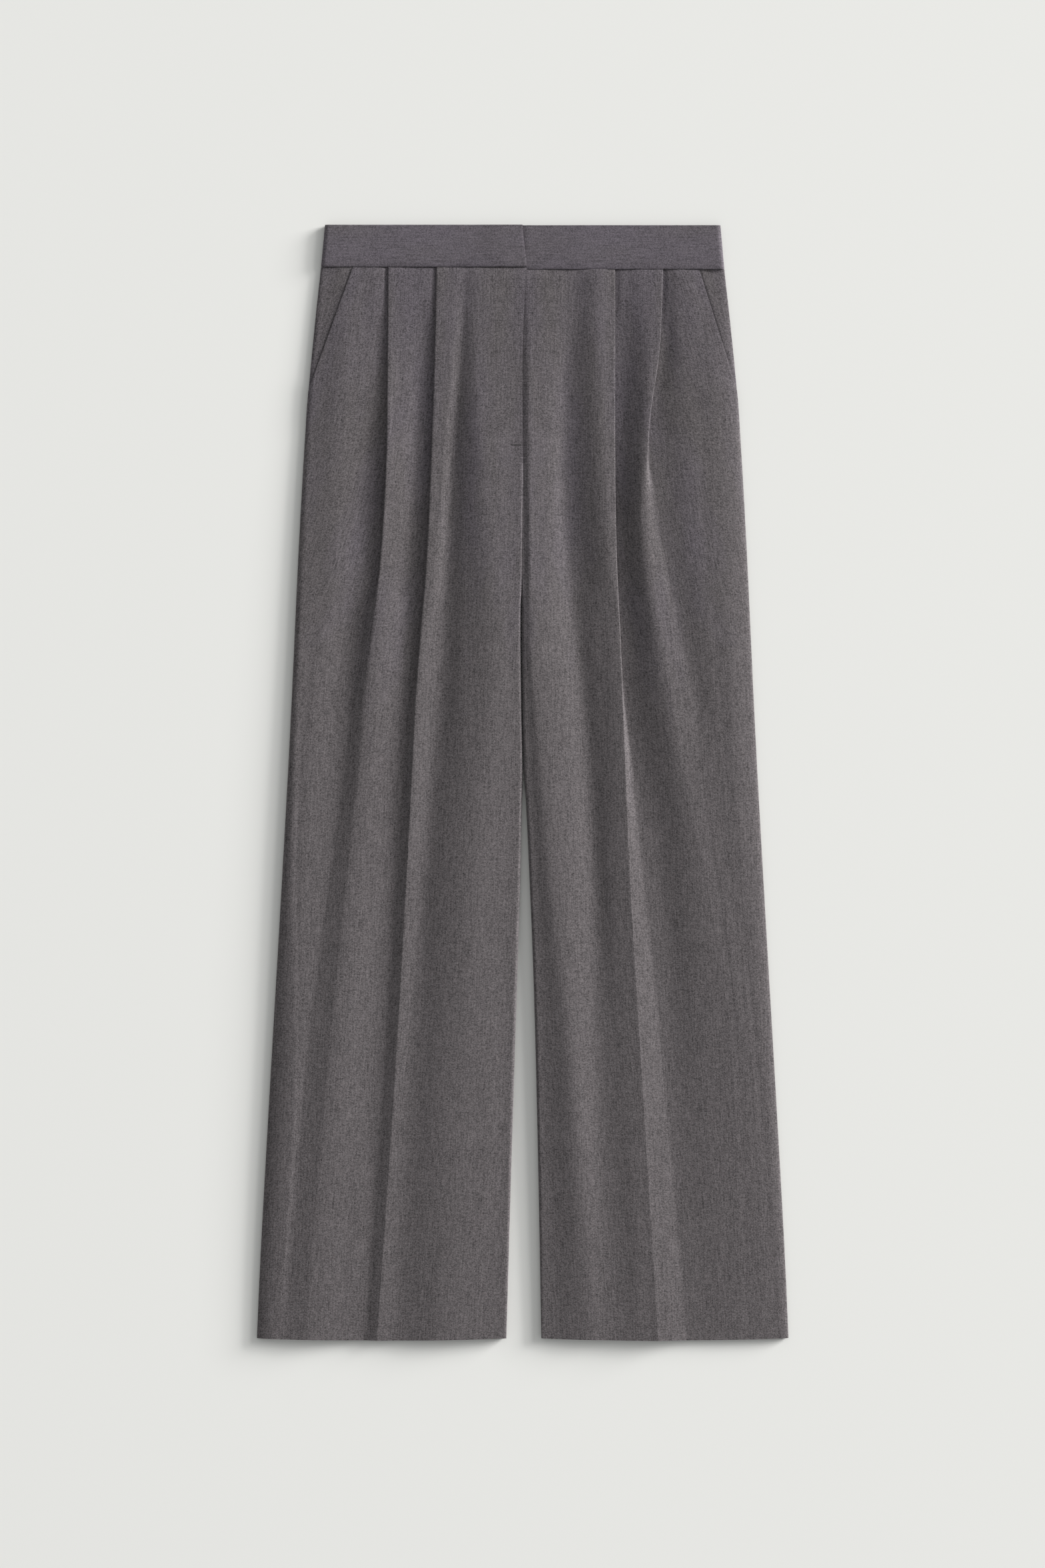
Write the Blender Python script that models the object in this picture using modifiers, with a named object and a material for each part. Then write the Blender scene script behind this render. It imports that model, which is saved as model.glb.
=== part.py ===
"""Wide-leg dress trousers with two pleats on each front, laid flat on their back panels.

X runs towards the wearer's left, Y from the hems up to the waist and Z up from the surface
that the back panels lie on. The origin is on that surface, below the middle of the trousers.

Every panel is a thin wall on an open surface. The surface of a front panel is a row of
cross-sections: each one starts at the side seam, comes round the soft roll of the side,
crosses the hip, goes through the two pleats and ends at the centre front or the inner leg.
Lower down, the inner pleat opens into the pressed crease and the outer one fades out.

The tables are in millimetres. "down" is a distance below the top edge of the waistband,
"at" is a distance out from the centre line towards the side, and heights are those of the
middle of the cloth above the surface that the trousers lie on.
"""
import math
from collections import namedtuple

import bpy
import numpy as np

MM = 0.001

# Driving sizes
LENGTH = 1069.0              # top of the waistband to the hem's corners
HEM_BOW = 2.0                # how far the middle of each hem hangs below its corners
BAND = 40.0                  # depth of the waistband
WALL = 1.1                   # cloth with its seam allowances pressed behind it
BAND_WALL = 1.7              # waistband cloth, doubled and stiffened
SEAM = 0.3                   # gap between pieces that are sewn together
ROLLED_SEAM = 0.7            # the same along a rolled edge, where the cut ends tilt inwards
PANEL_TOP = 40.4             # where the panels start below the waistband
FORK = 350.0                 # the crotch, where the legs part
FORK_BLEND = 25.0            # half the length over which the inner legs round off
TACK = 212.0                 # bar tack at the bottom of the fly
POCKET_END = 158.0           # where the slanted pocket opening meets the side seam
POCKET_LIFT = 1.9            # the front over the hip piece, with its edge turned in
POCKET_LAP = 14.0            # how far the hip piece reaches in behind the pocket's edge
POCKET_TAIL = 8.0            # how far it reaches below the opening
BAND_END = 32.0              # waistband extension that goes under the other end
BAND_HEIGHT = 5.3            # middle of the waistband's front wall
BAND_END_UNDER = 2.9         # and of its lower and upper ends at the centre front
BAND_END_OVER = 6.6
BAND_ROLL_WIDTH = 5.0        # the fold of the waistband at each side
PLEAT_TURN_RADIUS = 0.85     # middle of the cloth at a pressed fold
PLEAT_SOFTENING = 30.0       # how much rounder both folds of a fully opened pleat are
SOFTENING_POWER = 6          # and how late in its opening they round off
CREASE_RADIUS = 1.1          # the pressed crease stays sharp
FASTENING_WALL = 0.5         # hook and bar
ZIP_TAPE = 22.0
ZIP_TAPE_WALL = 0.8
ZIP_INSET = 4.5              # from the centre line to the zip's tape
CREASE_FALL = 10.0           # degrees that the cloth falls away inside an open crease

# The side seam and the roll that the cloth makes there
Side = namedtuple("Side", "down at seam_height shoulder_height roll_width")
SIDES = [
    Side(0, 190.0, 2.2, 3.6, 5.0),
    Side(40, 193.8, 2.2, 3.7, 6.0),
    Side(90, 199.2, 2.5, 4.6, 8.0),
    Side(180, 207.5, 3.0, 5.8, 10.0),
    Side(295, 214.4, 3.3, 6.4, 12.0),
    Side(487, 223.9, 3.4, 6.6, 12.0),
    Side(615, 231.3, 3.4, 6.4, 11.0),
    Side(870, 246.8, 3.0, 5.6, 9.0),
    Side(1000, 253.6, 2.6, 4.8, 7.0),
    Side(1069, 255.9, 2.4, 4.3, 6.0),
]

# The inner edges: the fly and the centre-front seam, then the inner legs. A negative
# distance is past the centre line, where the right front lies over the left one.
Inner = namedtuple("Inner", "down right left")
INNERS = [
    Inner(40, -3.8, -4.0),
    Inner(70, -1.8, -4.0),
    Inner(140, 0.2, -4.0),
    Inner(212, 0.0, -3.6),
    Inner(300, 1.0, -0.6),
    Inner(390, 1.5, -1.1),
    Inner(455, 0.9, -0.5),
    Inner(520, -0.2, 0.9),
    Inner(560, 0.9, 3.4),
    Inner(615, 2.1, 6.0),
    Inner(740, 5.9, 10.9),
    Inner(905, 11.0, 14.9),
    Inner(1069, 15.7, 17.9),
]
INNER_SEAM_HEIGHT = 3.0      # of the inner-leg seams
INNER_ROLL_WIDTH = 5.0

# The folds of each front. A pleat's turn is the angle through which the cloth doubles back:
# near 180 degrees it lies folded, and as the angle falls the pleat opens into a soft step.
# The shelf is how far the cloth has risen where it leaves the layers of the inner pleat.
Fold = namedtuple("Fold", "down hip_at hip pleat_at pleat_turn pleat_tuck pleat_foot "
                          "crease_at crease_turn crease_tuck crease_foot shelf "
                          "dip_at dip crest_at crest edge")
RIGHT_FOLDS = [
    Fold(40, 180, 3.8, 129.0, 178, 16.0, 2.0, 82.4, 178, 16.0, 2.0, -0.3, 56, 4.4, 38, 5.8, 5.7),
    Fold(116, 184, 5.3, 129.5, 176, 14.0, 1.9, 83.5, 176, 14.0, 1.9, -0.5, 60, 3.8, 42, 7.2, 6.2),
    Fold(212, 188, 6.2, 130.3, 162, 8.0, 1.9, 85.4, 172, 10.0, 1.9, -0.5, 66, 4.2, 39, 9.8, 7.2),
    Fold(328, 190, 7.0, 136.5, 118, 2.0, 1.9, 91.5, 150, 5.0, 1.9, -0.2, 73, 5.0, 29, 10.4, 8.4),
    Fold(391, 192, 7.0, 141.0, 60, 3.6, 2.0, 97.5, 125, 2.6, 2.0, 0.0, 78, 5.4, 24, 10.6, 8.6),
    Fold(455, 194, 6.8, 144.0, 32, 9.0, 2.2, 101.7, 88, 2.8, 2.1, 0.0, 82, 5.8, 27, 10.7, 8.8),
    Fold(520, 200, 6.4, 148.0, 22, 14.0, 2.4, 105.2, 54, 4.4, 2.3, 0.0, 89, 5.7, 32, 10.6, 8.6),
    Fold(615, 208, 5.9, 158.0, 16, 15.0, 3.0, 109.9, 30, 7.5, 2.6, 0.0, 97, 5.6, 47, 10.2, 8.4),
    Fold(810, 220, 5.2, 174.0, 12, 12.0, 3.6, 121.6, 22, 8.5, 3.0, 0.0, 112, 5.5, 58, 9.2, 7.6),
    Fold(1069, 234, 4.4, 194.0, 6, 8.0, 3.6, 139.3, 17, 7.5, 2.9, 0.0, 128, 4.6, 62, 6.4, 5.6),
]
LEFT_FOLDS = [
    Fold(40, 168, 4.0, 134.6, 178, 16.0, 2.0, 88.5, 178, 16.0, 2.0, 0.6, 46, 3.0, 20, 4.0, 3.1),
    Fold(116, 160, 7.0, 131.5, 168, 7.0, 2.2, 88.5, 176, 14.0, 1.9, 0.9, 41, 2.4, 16, 6.2, 3.2),
    Fold(190, 160, 8.4, 121.4, 80, 0.5, 3.4, 88.5, 173, 11.0, 1.9, 0.9, 40, 2.2, 13, 8.4, 4.4),
    Fold(270, 161, 8.2, 118.5, 24, 6.0, 5.2, 89.0, 162, 8.0, 1.9, 0.7, 42, 2.2, 11, 9.2, 5.4),
    Fold(328, 165, 7.2, 120.5, 14, 14.0, 5.4, 90.4, 148, 5.2, 1.9, 0.3, 46, 2.4, 11, 9.4, 5.8),
    Fold(391, 180, 7.2, 126.0, 12, 17.0, 5.6, 93.4, 124, 2.6, 2.0, 0.0, 53, 2.8, 12, 9.6, 5.8),
    Fold(455, 190, 7.0, 136.0, 11, 16.0, 6.0, 96.0, 90, 2.8, 2.1, 0.0, 57, 3.2, 16, 9.6, 5.6),
    Fold(520, 196, 7.0, 149.0, 6, 14.0, 7.2, 98.4, 56, 4.4, 2.4, 0.0, 62, 3.6, 22, 9.5, 5.4),
    Fold(615, 204, 7.0, 176.0, 4, 8.0, 7.6, 102.2, 30, 8.5, 2.9, 0.0, 67, 4.2, 29, 9.2, 5.0),
    Fold(810, 222, 6.2, 205.0, 3, 4.0, 6.4, 113.8, 22, 9.5, 3.2, 0.0, 76, 4.6, 49, 8.2, 4.4),
    Fold(1069, 234, 4.5, 212.0, 3, 4.0, 4.4, 130.1, 17, 7.5, 2.9, 0.0, 92, 3.9, 64, 5.2, 4.0),
]

# The slanted pocket openings: how far out each starts at the waist seam
POCKET_TOP_RIGHT = 163.0
POCKET_TOP_LEFT = 169.5

# How finely each stretch of a section is divided
STEP_ABOVE_KNEE = 27.0
STEP_BELOW_KNEE = 46.0
KNEE = 520.0
ROLL_POINTS = 4
HIP_POINTS = 12
TURN_POINTS = 4
PANEL_POINTS = 5
FRONT_POINTS = 10
POCKET_POINTS = 7
BAND_POINTS = 16
BAND_ROWS = 3
BAND_LEVEL_AT = 52.0


def slopes(xs, ys):
    """Slopes for a smooth curve through the points that never overshoots them."""
    steps = np.diff(ys) / np.diff(xs)
    result = np.zeros(len(xs))
    result[0] = steps[0]
    result[-1] = steps[-1]
    for i in range(1, len(xs) - 1):
        if steps[i - 1] * steps[i] > 0:
            result[i] = 2 * steps[i - 1] * steps[i] / (steps[i - 1] + steps[i])
    return result


def on_curve(xs, ys, tangents, x):
    """Height at x of the cubic curve through the points with these slopes."""
    x = min(max(x, xs[0]), xs[-1])
    i = min(int(np.searchsorted(xs, x, side="right")) - 1, len(xs) - 2)
    width = xs[i + 1] - xs[i]
    t = (x - xs[i]) / width
    start = (1 + 2 * t) * (1 - t) ** 2 * ys[i] + t * (1 - t) ** 2 * width * tangents[i]
    end = t * t * (3 - 2 * t) * ys[i + 1] - t * t * (1 - t) * width * tangents[i + 1]
    return start + end


def row_at(table, down):
    """The table's row for any distance down, on smooth curves through its rows."""
    downs = [row.down for row in table]
    values = [down]
    for column in table[0]._fields[1:]:
        heights = [getattr(row, column) for row in table]
        values.append(on_curve(downs, heights, slopes(downs, heights), down))
    return type(table[0])(*values)


def blend(value):
    """0 to 1, with a soft start and a soft end."""
    value = min(max(value, 0.0), 1.0)
    return value * value * (3 - 2 * value)


def run(knots, count, ends=(0.0, 0.0)):
    """Points on a curve through (at, height) knots that is level at each inner knot."""
    outward = sorted(knots)
    xs = [at for at, height in outward]
    ys = [height for at, height in outward]
    tangents = [0.0] * len(xs)
    tangents[-1] = ends[0]
    tangents[0] = ends[1]
    places = np.linspace(xs[-1], xs[0], count + 2)
    return [(at, on_curve(xs, ys, tangents, at)) for at in places]


def pleat(turn, tuck, foot_radius, top_radius):
    """A pleat seen end on, as (inward, up) points from its foot to its top.

    The cloth turns up and back over a small radius, runs back by the tuck and turns in
    again at the folded edge. The points are given from the middle of the folded edge.
    """
    angle = math.radians(turn)
    points = []
    for i in range(TURN_POINTS + 1):
        a = angle * i / TURN_POINTS
        points.append((foot_radius * math.sin(a), foot_radius * (1 - math.cos(a))))
    start_x = points[-1][0] + tuck * math.cos(angle)
    start_z = points[-1][1] + tuck * math.sin(angle)
    for i in range(TURN_POINTS + 1):
        a = angle * (1 - i / TURN_POINTS)
        inward = start_x + top_radius * (math.sin(angle) - math.sin(a))
        up = start_z + top_radius * (math.cos(a) - math.cos(angle))
        points.append((inward, up))
    edge = points[TURN_POINTS + 1 + TURN_POINTS // 2][0]
    return [(inward - edge, up) for inward, up in points]


def softened(turn):
    """Radius of a fold that has opened to this turn."""
    return PLEAT_TURN_RADIUS + PLEAT_SOFTENING * (1 - turn / 180.0) ** SOFTENING_POWER


def side_section(down, fold, foot_at):
    """The virtual hip surface from the side seam to the foot of the outer pleat."""
    side = row_at(SIDES, down)
    shoulder_at = side.at - WALL / 2 - side.roll_width
    seam_height = side.seam_height + ROLLED_SEAM / 2
    rise = side.shoulder_height - seam_height
    points = []
    for i in range(6 * ROLL_POINTS):
        a = math.pi / 2 * i / (6 * ROLL_POINTS)
        across = shoulder_at + side.roll_width * math.cos(a)
        points.append((across, seam_height + rise * math.sin(a)))
    hip_at = min(fold.hip_at, shoulder_at - 6)
    level_at = max(fold.pleat_at + 3, foot_at + 1)
    knots = [(shoulder_at, side.shoulder_height), (hip_at, fold.hip),
             (level_at, fold.pleat_foot), (foot_at, fold.pleat_foot)]
    points += run(knots, 60)
    return points


def raised(points, amount, level_at):
    """The same points moved out from the cloth's face, and not at all inside level_at."""
    line = np.array(points)
    along = np.gradient(line, axis=0)
    along /= np.linalg.norm(along, axis=1)[:, None]
    outward = np.stack([-along[:, 1], along[:, 0]], axis=1)
    outward *= np.where(outward @ np.array([1.0, 1.0]) < 0, -1.0, 1.0)[:, None]
    fade = np.array([blend((at - level_at) / 12) for at in line[:, 0]])
    return [tuple(p) for p in line + outward * (amount * fade)[:, None]]


def divided(points, start_at, end_at, count):
    """The points' line between two distances out, in steps that lengthen inwards."""
    line = np.array(points)
    length = np.concatenate([[0], np.cumsum(np.linalg.norm(np.diff(line, axis=0), axis=1))])
    first, last = np.interp([-start_at, -end_at], -line[:, 0], length)
    places = first + (last - first) * np.linspace(0, 1, count + 1) ** 1.5
    ats = np.interp(places, length, line[:, 0])
    heights = np.interp(places, length, line[:, 1])
    return list(zip(ats, heights))


def pocket_at(down, pocket_top):
    """How far out the pocket's edge lies, or the side seam below the opening."""
    side = row_at(SIDES, down)
    share = (down - BAND) / (POCKET_END - BAND)
    if share >= 1:
        return side.at
    seam_at = row_at(SIDES, POCKET_END).at - WALL / 2
    return pocket_top + (seam_at - pocket_top) * share


def leg_share(down):
    """0 above the fork, where the panels lie flat at the centre, and 1 on the legs."""
    return blend((down - FORK + FORK_BLEND) / (2 * FORK_BLEND))


def inner_roll(end_at, start, drop, width, share, count):
    """The inner end of a section, bent over a quarter turn as share goes from 0 to 1."""
    bend = max(math.pi / 2 * share, 0.01)
    points = []
    for i in range(1, count + 1):
        a = bend * i / count
        across = end_at + width * (1 - math.sin(a) / math.sin(bend))
        points.append((across, start + drop * (1 - math.cos(a))))
    return points


def front_section(down, folds, inner_column, pocket_top):
    """One cross-section of a front panel, from the side to the centre or inner leg."""
    fold = row_at(folds, down)
    share = leg_share(down)
    inner_at = getattr(row_at(INNERS, down), inner_column) + WALL / 2 * share
    outer_radius = softened(fold.pleat_turn)
    outer_fold = pleat(fold.pleat_turn, fold.pleat_tuck, outer_radius, outer_radius)
    inner_radius = softened(fold.crease_turn)
    inner_fold = pleat(fold.crease_turn, fold.crease_tuck, inner_radius,
                       min(inner_radius, CREASE_RADIUS))
    outer_fold = [(fold.pleat_at - inward, fold.pleat_foot + up) for inward, up in outer_fold]
    inner_fold = [(fold.crease_at - inward, fold.crease_foot + up) for inward, up in inner_fold]

    hip = side_section(down, fold, outer_fold[0][0])
    lift = POCKET_LIFT * (1 - blend((down - POCKET_END - POCKET_TAIL) / 40))
    hip = divided(raised(hip, lift, fold.pleat_at + 3), pocket_at(down, pocket_top),
                  outer_fold[0][0], HIP_POINTS)

    # Between the pleats: level over the outer tuck, then down to the foot of the inner one
    start = outer_fold[-1]
    shelf_at = min(outer_fold[0][0], start[0]) - 1.0
    level_at = max(fold.crease_at + 3, inner_fold[0][0] + 1)
    between = run([start, (shelf_at, start[1]), (level_at, fold.crease_foot),
                   inner_fold[0]], PANEL_POINTS)[1:-1]

    # Inside the crease: the cloth falls to the dip, rises to the crest and meets the edge
    start = inner_fold[-1]
    fall = math.tan(math.radians(CREASE_FALL * (1 - fold.crease_turn / 180.0)))
    end = (inner_at + INNER_ROLL_WIDTH, fold.edge)
    knots = [start, (fold.dip_at, fold.dip), (fold.crest_at, fold.crest), end]
    if inner_fold[0][0] < start[0] - 2:
        knots.append((inner_fold[0][0] - 1.0, start[1] + fold.shelf))
        fall = 0.0
    inside = run(knots, FRONT_POINTS, ends=(fall, 0.0))[1:]
    seam_height = INNER_SEAM_HEIGHT + ROLLED_SEAM / 2
    roll = inner_roll(inner_at, fold.edge, seam_height - fold.edge, INNER_ROLL_WIDTH, share,
                      ROLL_POINTS)
    return hip[:-1] + outer_fold + between + inner_fold + inside + roll


def back_section(down, inner_column):
    """One cross-section of a back panel, flat below and turned up at both edges."""
    side = row_at(SIDES, down)
    floor = WALL / 2
    rise = side.seam_height - ROLLED_SEAM / 2 - floor
    width = max(rise, 3.0)
    side_at = side.at - WALL / 2 - width
    points = []
    for i in range(ROLL_POINTS):
        a = math.pi / 2 * i / ROLL_POINTS
        points.append((side_at + width * math.cos(a), floor + rise * (1 - math.sin(a))))
    share = leg_share(down)
    leg_at = getattr(row_at(INNERS, down), inner_column) + WALL / 2
    end_at = SEAM / 2 + (leg_at - SEAM / 2) * share
    points.append((end_at + width, floor))
    seam_height = INNER_SEAM_HEIGHT - ROLLED_SEAM / 2
    points += inner_roll(end_at, floor, seam_height - floor, width, share, ROLL_POINTS)
    return points


def pocket_section(down, folds, pocket_top):
    """One cross-section of the hip piece, on the hip surface that the front lies over."""
    fold = row_at(folds, down)
    hip = side_section(down, fold, fold.pleat_at - 2)
    inner_at = pocket_at(min(down, POCKET_END), pocket_top) - POCKET_LAP
    return divided(hip, hip[0][0], inner_at, POCKET_POINTS)


def band_section(down, inner_at, end_heights):
    """One cross-section of a waistband half, from the centre front round to the back.

    end_heights are (at, height) knots that take the front wall down or up to its end.
    """
    side_at = row_at(SIDES, down).at - BAND_WALL / 2 - BAND_ROLL_WIDTH
    floor = BAND_WALL / 2
    knots = [(inner_at, end_heights[0][1])] + end_heights
    knots += [(BAND_LEVEL_AT, BAND_HEIGHT), (side_at, BAND_HEIGHT)]
    points = run(knots, BAND_POINTS)[::-1]
    reach = (BAND_HEIGHT - floor) / 2
    for i in range(1, 2 * ROLL_POINTS + 1):
        a = math.pi / 2 - math.pi * i / (2 * ROLL_POINTS)
        points.append((side_at + BAND_ROLL_WIDTH * math.cos(a),
                       floor + reach + reach * math.sin(a)))
    points += [(side_at / 2, floor), (SEAM / 2, floor)]
    return points


def stations(first, last, fine, coarse):
    """Distances down at which a panel's sections are taken."""
    above = max(2, round((min(last, KNEE) - first) / fine))
    result = list(np.linspace(first, min(last, KNEE), above + 1))
    if last > KNEE:
        below = round((last - KNEE) / coarse)
        result += list(np.linspace(KNEE, last, below + 1))[1:]
    return result


def material(name, color, roughness, metallic=0.0):
    """A plain finish in the piece's colour."""
    finish = bpy.data.materials.new(name)
    finish.use_nodes = True
    shader = finish.node_tree.nodes["Principled BSDF"]
    shader.inputs["Base Color"].default_value = (*color, 1.0)
    shader.inputs["Roughness"].default_value = roughness
    shader.inputs["Metallic"].default_value = metallic
    return finish


def height_of(down):
    """World Y, in millimetres, of a distance below the top of the waistband."""
    return (LENGTH + HEM_BOW) / 2 - down


def lofted_wall(name, sections, downs, side, wall, color):
    """A cloth wall through sections of (at, height) points, each at its distance down."""
    vertices = []
    for down, section in zip(downs, sections):
        bow = HEM_BOW * blend((down - LENGTH + 60) / 60)
        middle = (section[0][0] + section[-1][0]) / 2
        half = abs(section[0][0] - section[-1][0]) / 2
        for at, height in section:
            lower = bow * (1 - min(1.0, ((at - middle) / half) ** 2))
            y = height_of(down) - lower
            vertices.append((side * at * MM, y * MM, height * MM))
    count = len(sections[0])
    faces = []
    for row in range(len(sections) - 1):
        for i in range(count - 1):
            a = row * count + i
            corners = (a, a + 1, a + count + 1, a + count)
            faces.append(corners if side < 0 else corners[::-1])
    mesh = bpy.data.meshes.new(name)
    mesh.from_pydata(vertices, [], faces)
    mesh.shade_smooth()
    piece = bpy.data.objects.new(name, mesh)
    TROUSERS.objects.link(piece)
    piece.data.materials.append(material(name, color, 0.9))
    thickness = piece.modifiers.new("Wall", "SOLIDIFY")
    thickness.thickness = wall * MM
    thickness.offset = 0.0
    return piece


def front(name, side, folds, inner_column, pocket_top):
    """A front panel with its two pleats and its crease."""
    downs = stations(PANEL_TOP, LENGTH, STEP_ABOVE_KNEE, STEP_BELOW_KNEE)
    sections = [front_section(down, folds, inner_column, pocket_top) for down in downs]
    return lofted_wall(name, sections, downs, side, WALL, CLOTH)


def back(name, side, inner_column):
    """A back panel, which lies flat."""
    downs = stations(PANEL_TOP, LENGTH, 2 * STEP_ABOVE_KNEE, 2 * STEP_BELOW_KNEE)
    sections = [back_section(down, inner_column) for down in downs]
    return lofted_wall(name, sections, downs, side, WALL, CLOTH)


def pocket_side(name, side, folds, pocket_top):
    """The hip piece that fills the slanted pocket opening."""
    downs = stations(PANEL_TOP, POCKET_END + POCKET_TAIL, STEP_ABOVE_KNEE, STEP_BELOW_KNEE)
    sections = [pocket_section(down, folds, pocket_top) for down in downs]
    return lofted_wall(name, sections, downs, side, WALL, POCKET_CLOTH)


def waistband(name, side, inner_ats, end_heights):
    """Half of the waistband, folded round the side; inner_ats are its top and bottom ends."""
    downs = list(np.linspace(0, BAND, BAND_ROWS + 1))
    sections = []
    for down in downs:
        inner_at = inner_ats[0] + (inner_ats[1] - inner_ats[0]) * down / BAND
        sections.append(band_section(down, inner_at, end_heights)[::-1])
    return lofted_wall(name, sections, downs, side, BAND_WALL, CLOTH)


def block(name, low, high, bevel=0.0):
    """A box between two corners, in millimetres, with its edges rounded by the bevel."""
    middle = [(a + b) / 2 * MM for a, b in zip(low, high)]
    bpy.ops.mesh.primitive_cube_add(size=1, location=middle)
    piece = bpy.context.object
    piece.name = name
    piece.data.name = name
    piece.scale = [(b - a) * MM for a, b in zip(low, high)]
    bpy.ops.object.transform_apply(location=False, rotation=False, scale=True)
    for collection in piece.users_collection:
        collection.objects.unlink(piece)
    TROUSERS.objects.link(piece)
    if bevel:
        rounding = piece.modifiers.new("Rounding", "BEVEL")
        rounding.width = bevel * MM
        rounding.segments = 2
    return piece


def combine(piece, other, operation):
    """Join another shape to a piece, or cut it away, and put that shape with the cutters."""
    step = piece.modifiers.new(operation.title(), "BOOLEAN")
    step.operation = operation
    step.object = other
    TROUSERS.objects.unlink(other)
    CUTTERS.objects.link(other)
    other.hide_render = True
    other.display_type = "WIRE"


def fly_zip():
    """The closed zip that lies under the fly: tape, coil, slider and pull tab."""
    top = height_of(BAND + 2)
    end = height_of(TACK)
    middle = -(ZIP_INSET + ZIP_TAPE / 2)
    base = WALL + SEAM
    coil_top = base + ZIP_TAPE_WALL + 0.9
    tape = block("fly_zip", (middle - ZIP_TAPE / 2, end, base),
                 (middle + ZIP_TAPE / 2, top, base + ZIP_TAPE_WALL))
    coil = block("zip_coil", (middle - 2.6, end + 4, base + ZIP_TAPE_WALL / 2),
                 (middle + 2.6, top - 3, coil_top), 0.4)
    slider = block("zip_slider", (middle - 4, top - 15, base + ZIP_TAPE_WALL * 0.75),
                   (middle + 4, top - 5, coil_top + 1.2), 0.5)
    tab = block("zip_tab", (middle - 2.4, top - 32, coil_top + 0.3),
                (middle + 2.4, top - 12, coil_top + 0.9))
    for piece in (coil, slider, tab):
        combine(tape, piece, "UNION")
    tape.data.materials.append(material("fly_zip", ZIP_COLOR, 0.6))


def waist_fastening():
    """The flat trouser hook under the waistband's top end and the bar below it."""
    middle = height_of(BAND / 2)
    bar_base = BAND_END_UNDER + BAND_WALL / 2 + SEAM
    hook_base = bar_base + FASTENING_WALL + SEAM
    bar = block("waist_bar", (-22, middle - 5, bar_base),
                (-9, middle + 5, bar_base + FASTENING_WALL))
    slot = block("bar_slot", (-18, middle - 3, bar_base - 1), (-15.5, middle + 3, bar_base + 1))
    combine(bar, slot, "DIFFERENCE")
    hook = block("waist_hook", (-20, middle - 6, hook_base),
                 (-8, middle + 6, hook_base + FASTENING_WALL))
    tongue = block("hook_tongue", (-23, middle - 2.5, hook_base),
                   (-19, middle + 2.5, hook_base + FASTENING_WALL))
    combine(hook, tongue, "UNION")
    for piece in (bar, hook):
        piece.data.materials.append(material(piece.name, METAL_COLOR, 0.35, 1.0))


CLOTH = (0.118, 0.108, 0.113)
POCKET_CLOTH = (0.110, 0.101, 0.106)
ZIP_COLOR = (0.06, 0.055, 0.058)
METAL_COLOR = (0.55, 0.55, 0.56)

for item in list(bpy.data.objects):
    bpy.data.objects.remove(item, do_unlink=True)
TROUSERS = bpy.data.collections.new("pleated_trousers")
CUTTERS = bpy.data.collections.new("cutters")
for group in (TROUSERS, CUTTERS):
    bpy.context.scene.collection.children.link(group)

front("front_right", -1, RIGHT_FOLDS, "right", POCKET_TOP_RIGHT)
front("front_left", 1, LEFT_FOLDS, "left", POCKET_TOP_LEFT)
back("back_right", -1, "right")
back("back_left", 1, "left")
pocket_side("pocket_side_right", -1, RIGHT_FOLDS, POCKET_TOP_RIGHT)
pocket_side("pocket_side_left", 1, LEFT_FOLDS, POCKET_TOP_LEFT)
waistband("waistband_right", -1, (-1.5, -3.8), [(18.0, BAND_END_OVER)])
waistband("waistband_left", 1, (-BAND_END, -BAND_END), [(-9.0, BAND_END_UNDER), (6.0, 4.6)])
fly_zip()
waist_fastening()
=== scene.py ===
# %% [markdown]
# # Pleated dress trousers, laid flat
#
# A pair of wide-leg dress trousers lies on a pale floor, front up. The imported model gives
# each panel as a thin wall in its place. This script makes each one again as fine cloth on
# the same form, then adds the sewing, the zip, the light and the camera.

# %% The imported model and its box
import math
from collections import namedtuple

import bpy
import numpy as np
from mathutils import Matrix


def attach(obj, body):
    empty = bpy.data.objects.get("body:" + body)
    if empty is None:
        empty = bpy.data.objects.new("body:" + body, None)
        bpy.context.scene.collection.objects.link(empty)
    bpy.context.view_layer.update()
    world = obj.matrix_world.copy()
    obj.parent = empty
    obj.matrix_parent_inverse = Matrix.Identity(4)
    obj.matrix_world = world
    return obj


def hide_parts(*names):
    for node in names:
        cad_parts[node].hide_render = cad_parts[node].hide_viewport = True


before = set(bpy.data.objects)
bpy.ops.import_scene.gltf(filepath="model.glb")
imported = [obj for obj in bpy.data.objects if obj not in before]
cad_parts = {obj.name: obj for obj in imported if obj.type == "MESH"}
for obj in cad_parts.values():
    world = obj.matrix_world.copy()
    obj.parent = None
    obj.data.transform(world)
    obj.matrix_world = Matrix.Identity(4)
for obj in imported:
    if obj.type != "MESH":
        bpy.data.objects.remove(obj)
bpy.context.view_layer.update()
MM = 0.001

# %% [markdown]
# ## The sizes
#
# Tailors measure trousers from the top of the waistband down and from the centre line out,
# so the tables here do the same, in millimetres. `down` is a distance below the top of the
# waistband, `at` a distance out from the centre line, and a height is that of the middle
# of the cloth above the floor. Each row is one level of the garment, and smooth curves
# join the rows. That keeps a fold editable: one number moves it.

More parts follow.
